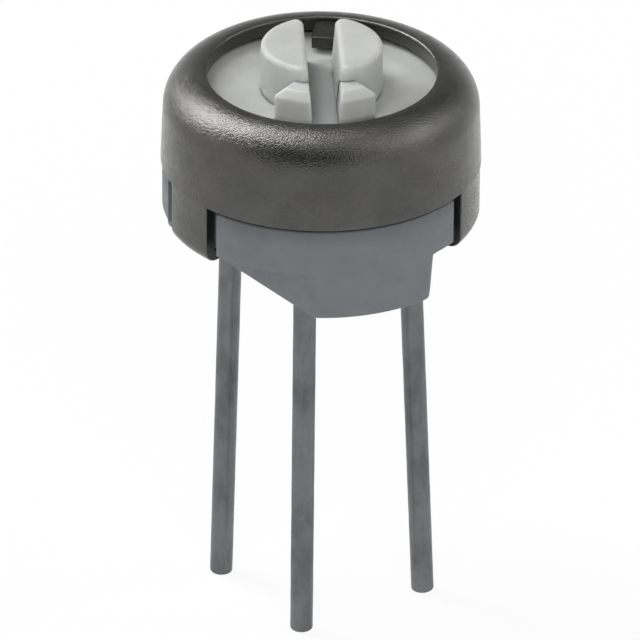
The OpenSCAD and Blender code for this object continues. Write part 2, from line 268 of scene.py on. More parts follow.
def in_mm(group):
    """The settings of a group by name, with lengths in millimetres."""
    values = {}
    for key in group.bl_rna.properties.keys():
        if key in {"rna_type", "name"}:
            continue
        value = getattr(group, key)
        unit = getattr(group.bl_rna.properties[key], "unit", "NONE")
        values[key] = value / MM if unit == "LENGTH" else value
    return SimpleNamespace(**values)


# ---------------------------------------------------------------- mesh tools


def arc(centre_r, centre_z, radius, start, end, steps):
    """Points of an arc in a section, from start to end degrees."""
    points = []
    for i in range(steps + 1):
        a = math.radians(start + (end - start) * i / steps)
        points.append((centre_r + radius * math.cos(a), centre_z + radius * math.sin(a)))
    return points


def span(first, last, steps):
    """Points between two section points, both ends included."""
    return [tuple(first[k] + (last[k] - first[k]) * i / steps for k in (0, 1))
            for i in range(steps + 1)]


def around(degrees, r, z):
    """The place at an angle about the axis, a radius and a height."""
    a = math.radians(degrees)
    return Vector((r * math.sin(a), -r * math.cos(a), z))


def apart(first, second):
    """How many degrees lie between two angles, the short way round."""
    return abs((first - second + 180) % 360 - 180)


def bridge(bm, first, second, closed=False):
    """Faces between two rows of vertices of equal length."""
    count = len(first)
    for i in range(count if closed else count - 1):
        j = (i + 1) % count
        corners = []
        for v in (first[i], first[j], second[j], second[i]):
            if v not in corners:
                corners.append(v)
        if len(corners) > 2 and bm.faces.get(corners) is None:
            bm.faces.new(corners)


def turned(bm, section, columns, place=around):
    """Revolves a section that starts and ends on the axis, or is a closed ring."""
    closed_ring = section[0][0] > 1e-6
    first_pole = None if closed_ring else bm.verts.new(place(0, *section[0]))
    last_pole = None if closed_ring else bm.verts.new(place(0, *section[-1]))
    inner = section if closed_ring else section[1:-1]
    rows = []
    for k in range(columns):
        degrees = 360 * k / columns
        row = [bm.verts.new(place(degrees, r, z)) for r, z in inner]
        rows.append(row if closed_ring else [first_pole] + row + [last_pole])
    for k in range(columns):
        bridge(bm, rows[k], rows[(k + 1) % columns], closed=closed_ring)


def stack(bm, rings):
    """Closes a pile of rings of equal length into a solid."""
    made = [[bm.verts.new(p) for p in ring] for ring in rings]
    for low, high in zip(made, made[1:]):
        bridge(bm, low, high, closed=True)
    bm.faces.new(made[0])
    bm.faces.new(made[-1])


def tidy(bm):
    """Joins doubled vertices and turns all faces outwards."""
    bmesh.ops.remove_doubles(bm, verts=bm.verts, dist=1e-5)
    bmesh.ops.dissolve_degenerate(bm, dist=1e-6, edges=bm.edges)
    bmesh.ops.recalc_face_normals(bm, faces=bm.faces)


def scratch_object(name, bm):
    """A linked object from a mesh in millimetres, for modifiers to work on."""
    mesh = bpy.data.meshes.new(name)
    bm.to_mesh(mesh)
    bm.free()
    mesh.polygons.foreach_set("use_smooth", [True] * len(mesh.polygons))
    made = bpy.data.objects.new(name, mesh)
    bpy.context.scene.collection.objects.link(made)
    return made


def discard(made):
    """Removes an object with its mesh."""
    mesh = made.data
    bpy.data.objects.remove(made)
    bpy.data.meshes.remove(mesh)


def piece(name, shape, material, body, nodes, rounding=0.0):
    """Turns a shape in millimetres into a finished piece on a body of the frame."""
    if rounding:
        bevel = shape.modifiers.new("edge_rounding", "BEVEL")
        bevel.width = rounding
        bevel.segments = 3
        bevel.limit_method = "ANGLE"
        bevel.angle_limit = math.radians(SHARP_EDGE)
        bevel.miter_outer = "MITER_ARC"
    normals = shape.modifiers.new("face_normals", "WEIGHTED_NORMAL")
    normals.keep_sharp = True
    graph = bpy.context.evaluated_depsgraph_get()
    mesh = bpy.data.meshes.new_from_object(shape.evaluated_get(graph), depsgraph=graph)
    discard(shape)
    mesh.transform(Matrix.Scale(MM, 4))
    mesh.name = name
    mesh.materials.clear()
    mesh.materials.append(material)
    made = bpy.data.objects.new(name, mesh)
    bpy.context.scene.collection.objects.link(made)
    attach(made, body)
    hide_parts(*nodes)
    return made


def cut(shape, cutters):
    """Subtracts each cutter from a shape with exact booleans."""
    for cutter in cutters:
        step = shape.modifiers.new("cut", "BOOLEAN")
        step.operation = "DIFFERENCE"
        step.solver = "EXACT"
        step.object = cutter
    graph = bpy.context.evaluated_depsgraph_get()
    mesh = bpy.data.meshes.new_from_object(shape.evaluated_get(graph), depsgraph=graph)
    shape.modifiers.clear()
    old = shape.data
    shape.data = mesh
    bpy.data.meshes.remove(old)
    for cutter in cutters:
        discard(cutter)


# ---------------------------------------------------------------- materials


class Graph:
    """Adds nodes to a new material whose texture space is in millimetres."""

    def __init__(self, name):
        self.material = bpy.data.materials.new(name)
        self.material.use_nodes = True
        self.tree = self.material.node_tree
        self.shader = self.tree.nodes["Principled BSDF"]
        place = self.node("ShaderNodeTexCoord")
        scale = self.node("ShaderNodeVectorMath", operation="SCALE")
        scale.inputs["Scale"].default_value = 1 / MM
        self.link(place.outputs["Object"], scale.inputs[0])
        self.space = scale.outputs["Vector"]

    def node(self, kind, **settings):
        made = self.tree.nodes.new(kind)
        for key, value in settings.items():
            setattr(made, key, value)
        return made

    def link(self, output, socket):
        self.tree.links.new(output, socket)

    def noise(self, per_mm, detail=3.0, roughness=0.5, stretch=None):
        """Noise with so many features to the millimetre, stretched along an axis."""
        space = self.space
        if stretch:
            mapping = self.node("ShaderNodeMapping")
            mapping.inputs["Scale"].default_value = stretch
            self.link(space, mapping.inputs["Vector"])
            space = mapping.outputs["Vector"]
        made = self.node("ShaderNodeTexNoise")
        made.inputs["Scale"].default_value = per_mm
        made.inputs["Detail"].default_value = detail
        made.inputs["Roughness"].default_value = roughness
        self.link(space, made.inputs["Vector"])
        return made.outputs["Fac"]

    def cells(self, per_mm):
        """Small pits, one to a cell."""
        made = self.node("ShaderNodeTexVoronoi")
        made.inputs["Scale"].default_value = per_mm
        self.link(self.space, made.inputs["Vector"])
        return made.outputs["Distance"]

    def steps(self, value, low, high, low_value=0.0, high_value=1.0):
        """Maps a value smoothly from one range to another."""
        made = self.node("ShaderNodeMapRange", interpolation_type="SMOOTHSTEP")
        for key, number in (("From Min", low), ("From Max", high),
                            ("To Min", low_value), ("To Max", high_value)):
            made.inputs[key].default_value = number
        self.link(value, made.inputs["Value"])
        return made.outputs["Result"]

    def blend(self, amount, first, second):
        """Mixes two colours, each a colour or a socket."""
        made = self.node("ShaderNodeMix", data_type="RGBA")
        self.link(amount, made.inputs["Factor"])
        for key, value in (("A", first), ("B", second)):
            socket = [s for s in made.inputs if s.name == key and s.type == "RGBA"][0]
            if isinstance(value, bpy.types.NodeSocket):
                self.link(value, socket)
            else:
                socket.default_value = (*value, 1.0)
        return [s for s in made.outputs if s.type == "RGBA"][0]

    def relief(self, *layers):
        """Stacks bumps, each a height with a depth in millimetres."""
        normal = None
        for height, depth in layers:
            made = self.node("ShaderNodeBump")
            made.inputs["Strength"].default_value = 1.0
            made.inputs["Distance"].default_value = depth * MM
            self.link(height, made.inputs["Height"])
            if normal is not None:
                self.link(normal, made.inputs["Normal"])
            normal = made.outputs["Normal"]
        self.link(normal, self.shader.inputs["Normal"])

    def finish(self, base, roughness, metallic=0.0):
        """Links colour and roughness to the shader and returns the material."""
        self.link(base, self.shader.inputs["Base Color"])
        self.link(roughness, self.shader.inputs["Roughness"])
        self.shader.inputs["Metallic"].default_value = metallic
        return self.material


def shade(tone, amount):
    """A colour made lighter or darker."""
    return tuple(max(0.0, min(1.0, c * amount)) for c in tone)


def blasted_metal(finishes):
    """Nickel-plated sheet, finely blasted, with patches of tarnish."""
    g = Graph("blasted_nickel")
    grain = g.noise(30.0, 2.0, 0.6)
    tone = g.blend(g.steps(g.noise(1.1, 4.0, 0.6), 0.35, 0.7),
                   shade(finishes.cap, 1.08), shade(finishes.cap, 0.9))
    stains = g.steps(g.noise(7.0, 3.0, 0.6), 0.55, 0.8, 0.0, 0.35)
    tone = g.blend(stains, tone, finishes.cap_stain)
    tone = g.blend(g.steps(grain, 0.5, 0.75, 0.0, 0.25), tone, shade(finishes.cap, 1.8))
    rough = finishes.cap_roughness
    roughness = g.steps(g.noise(4.0, 4.0, 0.6), 0.3, 0.7, rough - 0.05, rough + 0.07)
    g.relief((grain, 0.014), (g.noise(2.0, 2.0), 0.003))
    return g.finish(tone, roughness, metallic=1.0)


def moulded_plastic(name, tone, fibre=0.9, depth=0.0, skirt_shade_z=None):
    """Filled moulding compound with a faint mottle and a fine spark texture.

    Its fibres are darker by a factor, light runs inside it to a depth in millimetres,
    and a painted shade darkens it over the half millimetre below a given height,
    where the cap's skirt overhangs it.
    """
    g = Graph(name)
    mottle = g.steps(g.noise(1.6, 4.0, 0.55), 0.3, 0.7)
    base = g.blend(mottle, shade(tone, 1.04), shade(tone, 0.93))
    fibres = g.steps(g.noise(14.0, 2.0, 0.5), 0.6, 0.75, 0.0, 0.35)
    base = g.blend(fibres, base, shade(tone, fibre))
    # Painted shade: darker towards the cap's skirt, under which the base lies in shade
    if skirt_shade_z:
        axes = g.node("ShaderNodeSeparateXYZ")
        g.link(g.space, axes.inputs[0])
        painted_skirt_shade = g.steps(axes.outputs["Z"], skirt_shade_z - 0.5, skirt_shade_z, 0.0, 0.55)
        base = g.blend(painted_skirt_shade, base, shade(tone, 0.45))
    roughness = g.steps(g.noise(5.0, 3.0, 0.6), 0.3, 0.7, 0.5, 0.64)
    g.relief((g.noise(16.0, 3.0, 0.6), 0.0012), (g.noise(3.0, 2.0), 0.003))
    g.shader.inputs["Subsurface Weight"].default_value = 0.8 if depth else 0.0
    g.shader.inputs["Subsurface Radius"].default_value = (1.0, 0.95, 0.85)
    g.shader.inputs["Subsurface Scale"].default_value = depth * MM
    return g.finish(base, roughness)


def tinned_metal(finishes):
    """Dull tin on copper wire, with drawing lines along it."""
    g = Graph("dull_tin")
    lines = g.noise(14.0, 3.0, 0.6, stretch=(1.0, 1.0, 0.05))
    blotches = g.steps(g.noise(1.8, 4.0, 0.6, stretch=(1.0, 1.0, 0.5)), 0.4, 0.7)
    tone = g.blend(blotches, finishes.pin, finishes.pin_stain)
    tone = g.blend(g.steps(lines, 0.55, 0.75, 0.0, 0.3), tone, shade(finishes.pin, 1.3))
    rough = finishes.pin_roughness
    roughness = g.steps(g.noise(6.0, 4.0, 0.6), 0.3, 0.7, rough - 0.05, rough + 0.08)
    g.relief((lines, 0.0012), (g.noise(5.0, 3.0, 0.6), 0.002))
    return g.finish(tone, roughness, metallic=1.0)


def sealing_epoxy(tone):
    """Cast resin with a soft swirl."""
    g = Graph("cast_epoxy")
    base = g.blend(g.noise(4.0, 3.0), shade(tone, 1.15), shade(tone, 0.8))
    roughness = g.steps(g.noise(5.0, 3.0), 0.3, 0.7, 0.16, 0.3)
    g.relief((g.noise(3.0, 2.0), 0.006))
    return g.finish(base, roughness)


def silicone_rubber(tone):
    """Dull rubber with a fine grain."""
    g = Graph("silicone_rubber")
    base = g.blend(g.noise(3.0, 3.0), shade(tone, 1.08), shade(tone, 0.9))
    roughness = g.steps(g.noise(8.0, 3.0), 0.3, 0.7, 0.4, 0.55)
    g.relief((g.noise(12.0, 3.0), 0.002))
    return g.finish(base, roughness)


def rolled_metal(name, tone, rough):
    """Rolled or solidified metal with faint lines and a soft tarnish."""
    g = Graph(name)
    lines = g.noise(12.0, 3.0, 0.6, stretch=(1.0, 0.08, 1.0))
    base = g.blend(g.steps(g.noise(2.5, 4.0), 0.35, 0.7), shade(tone, 1.05), shade(tone, 0.8))
    roughness = g.steps(lines, 0.3, 0.7, rough - 0.08, rough + 0.1)
    g.relief((lines, 0.0015))
    return g.finish(base, roughness, metallic=1.0)


def fired_ceramic(name, tone, rough):
    """Fired ceramic or printed glaze with its grain and a few dark specks."""
    g = Graph(name)
    base = g.blend(g.noise(4.0, 4.0), shade(tone, 1.03), shade(tone, 0.92))
    base = g.blend(g.steps(g.noise(18.0, 1.0), 0.7, 0.76, 0.0, 0.4), base, shade(tone, 0.6))
    roughness = g.steps(g.noise(10.0, 3.0), 0.3, 0.7, rough - 0.06, rough + 0.08)
    g.relief((g.cells(20.0), 0.0015), (g.noise(8.0, 3.0), 0.002))
    return g.finish(base, roughness)


# ---------------------------------------------------------------- cap


def cap_section(s):
    """Section of the drawn cap, from the skirt's outer to its inner lower edge."""
    skirt_z = s.rim_z - s.skirt_depth
    shoulder_z = s.rim_z - s.shoulder
    wall = s.radius - s.flare
    opening = s.radius - s.rim_width
    lip_z = s.rim_z - s.lip_depth
    curl_r = opening + s.curl
    points = span((s.radius, skirt_z), (wall, shoulder_z), 10)
    points += arc(wall - s.shoulder, shoulder_z, s.shoulder, 5, 90, 20)
    points += arc(curl_r, s.rim_z - s.curl, s.curl, 90, 180, 6)
    points += span((opening, s.rim_z - s.curl - 0.06), (opening, lip_z), 2)
    points += [(opening + s.sheet, lip_z)]
    points += arc(wall - s.shoulder, shoulder_z, s.shoulder - s.sheet, 64, 0, 8)
    points += span((wall - s.sheet, shoulder_z - 0.1), (s.radius - s.sheet, skirt_z), 5)
    return points


def tab_sections(s, foot_z):
    """Inner and outer row of a crimp tab, from below the skirt to the end of its foot."""
    skirt_z = s.rim_z - s.skirt_depth
    sheet = s.sheet - 2 * s.tab_inset
    bend = sheet + s.bend
    face, bend_z = s.radius - s.tab_inset, foot_z + bend
    foot_end = s.radius - s.foot
    rows = []
    for depth in (sheet, 0):
        row = span((face - depth, skirt_z - 0.08), (face - depth, bend_z), 6)
        row += arc(face - bend, bend_z, bend - depth, -9, -90, 9)
        row += span((face - bend - 0.06, foot_z + depth), (foot_end, foot_z + depth), 2)
        rows.append(row)
    return rows


def cap_columns(half_tab, columns):
    """Angles of the cap's columns, with one on each edge of each tab."""
    edges = [(a + side * half_tab) % 360 for a in TAB_ANGLES for side in (-1, 1)]
    spacing = 360 / columns
    regular = [k * spacing for k in range(columns)]
    kept = [a for a in regular if all(apart(a, e) > 0.4 * spacing for e in edges)]
    return sorted(kept + edges)


def in_tab(degrees, half_tab):
    """Whether an angle falls on one of the crimp tabs."""
    return any(apart(degrees, a) < half_tab + 1e-6 for a in TAB_ANGLES)


def cap_place(degrees, r, z, half_tab):
    """Place on the cap, with the slight bulge that the crimp gives the wall at a tab."""
    bulge = 0.0
    for a in TAB_ANGLES:
        off = apart(degrees, a) / half_tab
        bulge = max(bulge, 1 - off * off * 0.5 if off < 1 else max(0.0, 0.5 - (off - 1) * 0.9))
    fade = max(0.0, min(1.0, (2.6 - z) / 0.7)) * max(0.0, min(1.0, (r - 2.6) / 0.2))
    wave = SHEET_WAVE * noise.noise(around(degrees, 1.3, z * 0.4)) - SHEET_WAVE_ROOM
    return around(degrees, r + CRIMP_BULGE * (bulge - 1) * fade + wave, z)


def cap_shape(s, foot_z, columns):
    """The drawn cup with its crimp tabs, their feet at the height foot_z."""
    half_tab = math.degrees(math.asin(s.tab_width / 2 / s.radius))
    section = cap_section(s)
    inner, outer = tab_sections(s, foot_z)
    bm = bmesh.new()
    angles = cap_columns(half_tab, columns)
    rows, tabs = [], []
    for a in angles:
        rows.append([bm.verts.new(cap_place(a, r, z, half_tab)) for r, z in section])
        tabs.append(None)
        if in_tab(a, half_tab):
            made = [[bm.verts.new(cap_place(a, r, z, half_tab)) for r, z in side]
                    for side in (inner, outer)]
            tabs[-1] = ([rows[-1][-1]] + made[0], [rows[-1][0]] + made[1])
    for k, a in enumerate(angles):
        n = (k + 1) % len(angles)
        middle = a + ((angles[n] - a) % 360) / 2
        bridge(bm, rows[k], rows[n])
        if not in_tab(middle, half_tab):
            bridge(bm, [rows[k][-1], rows[k][0]], [rows[n][-1], rows[n][0]])
            if tabs[k]:
                bridge(bm, tabs[k][0], tabs[k][1])
            if tabs[n]:
                bridge(bm, tabs[n][0], tabs[n][1])
            continue
        for side in (0, 1):
            bridge(bm, tabs[k][side], tabs[n][side])
        bridge(bm, [tabs[k][0][-1], tabs[k][1][-1]], [tabs[n][0][-1], tabs[n][1][-1]])
    tidy(bm)
    return bm


def add_stop_tab(bm, s):
    """The flat stop tab that reaches in from the rear of the opening."""
    opening = s.radius - s.rim_width
    low = s.rim_z - s.lip_depth - s.stop_drop
    half = s.stop_width / 2
    ends = (s.stop_radius, opening + s.sheet * 0.6)
    outline = [(-half, ends[0]), (half, ends[0]), (half, ends[1]), (-half, ends[1])]
    turn = Matrix.Rotation(s.stop_angle - math.pi, 3, "Z")
    verts = [bm.verts.new(turn @ Vector((x, y, z)))
             for z in (low, low + s.sheet) for x, y in outline]
    bm.faces.new(verts[3::-1])
    bm.faces.new(verts[4:])
    for i in range(4):
        j = (i + 1) % 4
        bm.faces.new([verts[k] for k in (i, j, j + 4, i + 4)])


# ---------------------------------------------------------------- base


def soft_min(a, b, width):
    """The smaller of two values, rounded off where they are within a width."""
    h = max(width - abs(a - b), 0.0) / width
    return min(a, b) - h * h * width / 4


def block_radius(degrees, z, base, flange_r):
    """Radius of the standoff block's outline at an angle and a height."""
    r = flange_r
    for a, offset in zip(FLAT_ANGLES, FLAT_OFFSETS):
        c = math.cos(math.radians(degrees - a))
        if c > 0.3:
            flat = (offset - (base.block_height - z) * math.tan(base.draft)) / c
            r = soft_min(r, flat, base.corner)
    return r


def base_profile(degrees, notched, s, base):
    """Section of the base at an angle, from its lower face up to the element pocket.

    Every section has the same number of points, so a notched one repeats its upper corner.
    """
    flange_r = s.radius - base.flange_step
    top = s.rim_z - s.skirt_depth - base.skirt_gap
    low, edge = base.block_height, base.edge
    notch_r = s.radius - s.sheet - base.wall_gap
    wall_r = notch_r - s.flare

    def block(z):
        return block_radius(degrees, z, base, flange_r)

    r0, r1 = block(0.0), block(low)
    points = [(0.0, 0.0), (1.2, 0.0)]
    points += [(r0 - edge + x, z) for x, z in arc(0, edge, edge, -90, 0, 5)]
    points += [(block(z), z) for z in (0.2, 0.35, 0.5, 0.65)]
    step = max(0.0, flange_r - r1)
    fillet = min(0.07, 0.45 * step)
    points += [(r1 + fillet + x, z) for x, z in arc(0, low - fillet, fillet, 180, 90, 6)]
    face, under = (notch_r, edge / 2) if notched else (flange_r, min(edge, 0.45 * step))
    points += span((r1 + fillet, low), (face - under, low), 2)
    points += arc(face - under, low + under, under, -90, 0, 4)
    points += span((face, low + 0.3), (face, top - edge), 2)
    if notched:
        points += [(face, top)] * 4
    else:
        points += arc(face - edge, top - edge, edge, 15, 90, 3)
    points += [(wall_r, top), (wall_r, base.wall_top), (wall_r - base.wall, base.wall_top),
               (wall_r - base.wall, base.pocket_z), (0.0, base.pocket_z)]
    return points


def base_shape(s, base, columns):
    """The moulded base, notched behind each crimp tab.

    The sections at a notch's sides come twice, plain and notched, in the order round
    the axis that makes the step between them.
    """
    half_tab = math.degrees(math.asin(s.tab_width / 2 / s.radius))
    half_notch = half_tab + math.degrees(math.asin(s.tab_gap / s.radius))
    notch_sides = [((a + side * half_notch) % 360, side) for a in TAB_ANGLES for side in (-1, 1)]
    spacing = 360 / columns
    marks = []
    for k in range(columns):
        a = k * spacing
        if all(apart(a, e) > 0.3 * spacing for e, _ in notch_sides):
            marks.append((a, 0, in_tab(a, half_notch)))
    for e, side in notch_sides:
        marks.append((e, 0 if side < 0 else 1, False))
        marks.append((e, 1 if side < 0 else 0, True))
    marks.sort()
    bm = bmesh.new()
    low, high = bm.verts.new((0, 0, 0)), bm.verts.new((0, 0, base.pocket_z))
    rows = []
    for a, _, notched in marks:
        points = base_profile(a, notched, s, base)[1:-1]
        rows.append([low] + [bm.verts.new(around(a, r, z)) for r, z in points] + [high])
    for k in range(len(rows)):
        bridge(bm, rows[k], rows[(k + 1) % len(rows)])
    tidy(bm)
    return bm


def rod(name, x, y, radius, low, high, sides=48):
    """A plain upright cutter."""
    bm = bmesh.new()
    rings = []
    for z in (low, high):
        rings.append([Vector((x + radius * math.cos(2 * math.pi * k / sides),
                              y + radius * math.sin(2 * math.pi * k / sides), z))
                      for k in range(sides)])
    stack(bm, rings)
    bmesh.ops.recalc_face_normals(bm, faces=bm.faces)
    return scratch_object(name, bm)


# ---------------------------------------------------------------- rotor


def rounded_corner(normal, along, inset, radius, corner, steps=5):
    """Arc that rounds the corner between a line and the circle about the axis.

    The line lies inset inside the plane with that outward normal, and the corner
    is the one in the direction along. The arc runs from the line to the circle.
    """
    n, u = Vector(normal), Vector(along)
    offset = inset + corner
    reach = math.sqrt(max((radius - corner) ** 2 - offset ** 2, 1e-6))
    centre = u * reach - n * offset
    start, end = n, centre.normalized()
    turn = start.angle(end)
    sign = 1 if start.x * end.y - start.y * end.x > 0 else -1
    points = []
    for i in range(steps + 1):
        a = sign * turn * i / steps
        d = Vector((start.x * math.cos(a) - start.y * math.sin(a),
                    start.x * math.sin(a) + start.y * math.cos(a)))
        points.append(centre + d * corner)
    return points


def swept(first, last, radius, steps):
    """Points on a circle strictly between the directions of two points."""
    a0, a1 = math.atan2(first.y, first.x), math.atan2(last.y, last.x)
    while a1 < a0:
        a1 += 2 * math.pi
    return [Vector((radius * math.cos(a0 + (a1 - a0) * i / steps),
                    radius * math.sin(a0 + (a1 - a0) * i / steps)))
            for i in range(1, steps)]


def boss_half(half_slot, radius, inset, corner):
    """Outline of the right half of the boss, beside the slot."""
    corner = max(corner - inset, LEAST_CORNER)
    flat, radius = half_slot + inset, radius - inset
    front = rounded_corner((-1, 0), (0, -1), flat, radius, corner)
    rear = rounded_corner((-1, 0), (0, 1), flat, radius, corner)
    outline = front + swept(front[-1], rear[-1], radius, 40) + rear[::-1]
    return outline + [rear[0].lerp(front[0], i / 8) for i in range(1, 8)]


def lug_half(flat, radius, half_angle, inset, corner, inner):
    """Outline of the right half of the pointer lug, from a radius inside the boss.

    It lies at a distance flat beside the slot's middle, and inset inside its side plane.
    """
    side_normal = (math.cos(half_angle), math.sin(half_angle))
    side_along = (math.sin(half_angle), -math.cos(half_angle))
    near = rounded_corner((-1, 0), (0, -1), flat, radius, corner)
    far = rounded_corner(side_normal, side_along, inset, radius, corner)
    inner_near = Vector((flat, -inner))
    inner_far = Vector(side_along) * inner - Vector(side_normal) * inset
    outline = [inner_near.lerp(near[0], i / 4) for i in range(4)] + near
    outline += swept(near[-1], far[-1], radius, 16) + far[::-1]
    return outline + [far[0].lerp(inner_far, i / 4) for i in range(1, 5)]


def slot_half_width(z, r):
    """Half of the slot's width at a height above the rotor's floor."""
    share = max(0.0, (z - r.slot_rise) / (r.boss_height - r.slot_rise))
    return (r.slot_floor + (r.slot_top - r.slot_floor) * share) / 2


def mirrored(rings):
    """The same rings on the other side of the slot."""
    return [[Vector((-p.x, p.y, p.z)) for p in reversed(ring)] for ring in rings]


def raised(outline, z):
    """A flat outline at a height."""
    return [Vector((p.x, p.y, z)) for p in outline]


def boss_rings(r):
    """Outlines of the right half of the boss, from inside the floor to its rounded top."""
    shoulder = r.boss_height - r.boss_edge
    levels = [(z, 0.0, r.boss_edge) for z in (-0.1, 0.1, 0.3, 0.5, 0.7, shoulder)]
    for k in range(1, 7):
        a = math.radians(15 * k)
        levels.append((shoulder + r.boss_edge * math.sin(a), r.boss_edge * (1 - math.cos(a)),
                       r.boss_edge * 1.3))
    return [raised(boss_half(slot_half_width(z, r), r.boss_radius, inset, corner), z)
            for z, inset, corner in levels]


def lug_rings(r):
    """Outlines of the right half of the pointer lug, from inside the floor to its bevels."""
    top, bevel = r.lug_height, r.lug_bevel
    levels = [(-0.1, 0.0, 0.0), (0.2, 0.0, 0.0), (top - bevel - 0.03, 0.0, 0.0),
              (top - bevel, 0.006, 0.0), (top - bevel + 0.03, 0.027, 0.0),
              (top - 0.06, bevel - 0.06, 0.004), (top - 0.03, bevel - 0.032, 0.012),
              (top - 0.01, bevel - 0.008, 0.024), (top, bevel + 0.02, 0.045)]
    return [raised(lug_half(slot_half_width(z, r) + slot_inset, r.lug_radius - inset,
                            r.lug_angle / 2, inset, 0.056, 0.8), z)
            for z, inset, slot_inset in levels]


def slot_plate(r):
    """Outlines of the slot's raised floor between the boss halves and the lug halves."""
    half = slot_half_width(0.0, r) + 0.02
    front = -math.sqrt(r.lug_radius ** 2 - half ** 2) + 0.002
    rear = math.sqrt(r.boss_radius ** 2 - half ** 2) - 0.002
    plate = [Vector(p) for p in ((-half, front), (half, front), (half, rear), (-half, rear))]
    return [raised(plate, z) for z in (-0.1, r.slot_rise)]


def rotor_shape(r, s, columns):
    """Boss halves, lug halves and slot floor on the turned body of the rotor."""
    bm = bmesh.new()
    for rings in (boss_rings(r), lug_rings(r)):
        stack(bm, rings)
        stack(bm, mirrored(rings))
    stack(bm, slot_plate(r))
    bmesh.ops.translate(bm, verts=bm.verts, vec=(0, 0, r.floor_z))
    seat_r = s.radius - s.rim_width + s.sheet - r.flange_gap
    body_r = s.radius - s.sheet - s.flare - r.flange_gap
    under, edge = r.floor_z - r.flange, 0.04
    section = [(floor_r, r.floor_z) for floor_r in (0, 0.9, 1.6, 2.2)]
    section += arc(seat_r - edge, r.floor_z - edge, edge, 90, 0, 4)
    section += [(seat_r, r.seat_z), (body_r, r.seat_z), (body_r, under), (r.hub_radius, under),
                (r.hub_radius, r.hub_z), (r.pivot_radius, r.hub_z),
                (r.pivot_radius, r.pivot_z), (0, r.pivot_z)]
    turned(bm, section, columns)
    bmesh.ops.rotate(bm, verts=bm.verts, cent=(0, 0, 0),
                     matrix=Matrix.Rotation(r.pointer, 3, "Z"))
    bmesh.ops.recalc_face_normals(bm, faces=bm.faces)
    return bm


# ---------------------------------------------------------------- pins


def pin_stations(lean, p):
    """Rings down a pin: middle outwards and up, direction in which it widens, radius."""
    low = p.head_top - p.head
    upright = [(p.head_top, 0.0), (p.head_top, p.head_radius - 0.03),
               (p.head_top - 0.03, p.head_radius), (low + 0.03, p.head_radius),
               (low, p.head_radius - 0.03), (low, p.shank_radius), (0.9, p.shank_radius),
               (0.5, p.shank_radius), (p.elbow + 0.03, p.shank_radius),
               (p.elbow + 0.01, p.radius)]
    rings = [((0.0, z), (1.0, 0.0), radius) for z, radius in upright]
    leg = (p.reach + p.elbow) / math.cos(lean) - p.radius * math.tan(lean)
    down = [((leg - p.tip_edge) * k / PIN_STEPS, p.radius) for k in range(1, PIN_STEPS + 1)]
    for k in range(1, 7):
        a = math.radians(15 * k)
        down.append((leg - p.tip_edge * (1 - math.sin(a)),
                     p.radius - p.tip_edge * (1 - math.cos(a))))
    out, fall = math.sin(lean), math.cos(lean)
    return rings + [((t * out, p.elbow - t * fall), (fall, out), radius) for t, radius in down]


def pin_shape(index, p):
    """One pin with its nail head, its shank and the leg that leans outwards."""
    circle = p.pitch / math.sqrt(2)
    bm = bmesh.new()
    made = []
    for (out, z), (along, rise), radius in pin_stations(math.radians(PIN_LEANS[index]), p):
        row = []
        for m in range(PIN_SIDES):
            a = 2 * math.pi * m / PIN_SIDES
            worn = radius
            if z < p.elbow:
                place = Vector((math.cos(a), math.sin(a), z * 1.7 + 9 * index))
                worn += PIN_WEAR * (noise.noise(place) - 1)
            c = math.cos(a) * worn
            row.append(bm.verts.new((math.sin(a) * worn, -(circle + out + c * along),
                                     z + c * rise)))
        made.append(row)
    for low, high in zip(made, made[1:]):
        bridge(bm, low, high, closed=True)
    bm.faces.new(made[-1])
    bmesh.ops.remove_doubles(bm, verts=made[0], dist=1e-4)
    bmesh.ops.recalc_face_normals(bm, faces=bm.faces)
    bmesh.ops.rotate(bm, verts=bm.verts, cent=(0, 0, 0),
                     matrix=Matrix.Rotation(math.radians(PIN_ANGLES[index]), 3, "Z"))
    return bm


def bead_shape(index, p):
    """Ring of cast epoxy round a pin, with a slight meniscus in its lower face."""
    inner, outer = p.shank_radius + HOLE_GAP, p.bead_radius
    section = [(inner, p.bead), (inner, 0.012)]
    for k in range(1, 8):
        hollow = 0.035 * math.sin(math.pi * k / 8) ** 0.8 + 0.004
        section.append((inner + (outer - inner) * k / 8, hollow))
    section += [(outer, 0.002), (outer, p.bead)]
    bm = bmesh.new()
    centre = around(PIN_ANGLES[index], p.pitch / math.sqrt(2), 0)
    turned(bm, section, 64, place=lambda a, r, z: centre + around(a, r, z))
    bmesh.ops.recalc_face_normals(bm, faces=bm.faces)
    return bm


# ---------------------------------------------------------------- operators


class TRIMMER_OT_build_cap(bpy.types.Operator):
    """Build the drawn cap with its lip, crimp tabs and stop tab"""

    bl_idname = "trimmer.build_cap"
    bl_label = "Cap"

    def execute(self, context):
        settings = context.scene
        s, base = in_mm(settings.trimmer_cap), in_mm(settings.trimmer_base)
        bm = cap_shape(s, base.block_height - s.sheet, settings.trimmer_stage.columns)
        add_stop_tab(bm, s)
        material = blasted_metal(settings.trimmer_finishes)
        piece("cap_shell", scratch_object("cap_work", bm), material,
              "housing", ["cap"], rounding=0.03)
        return {"FINISHED"}


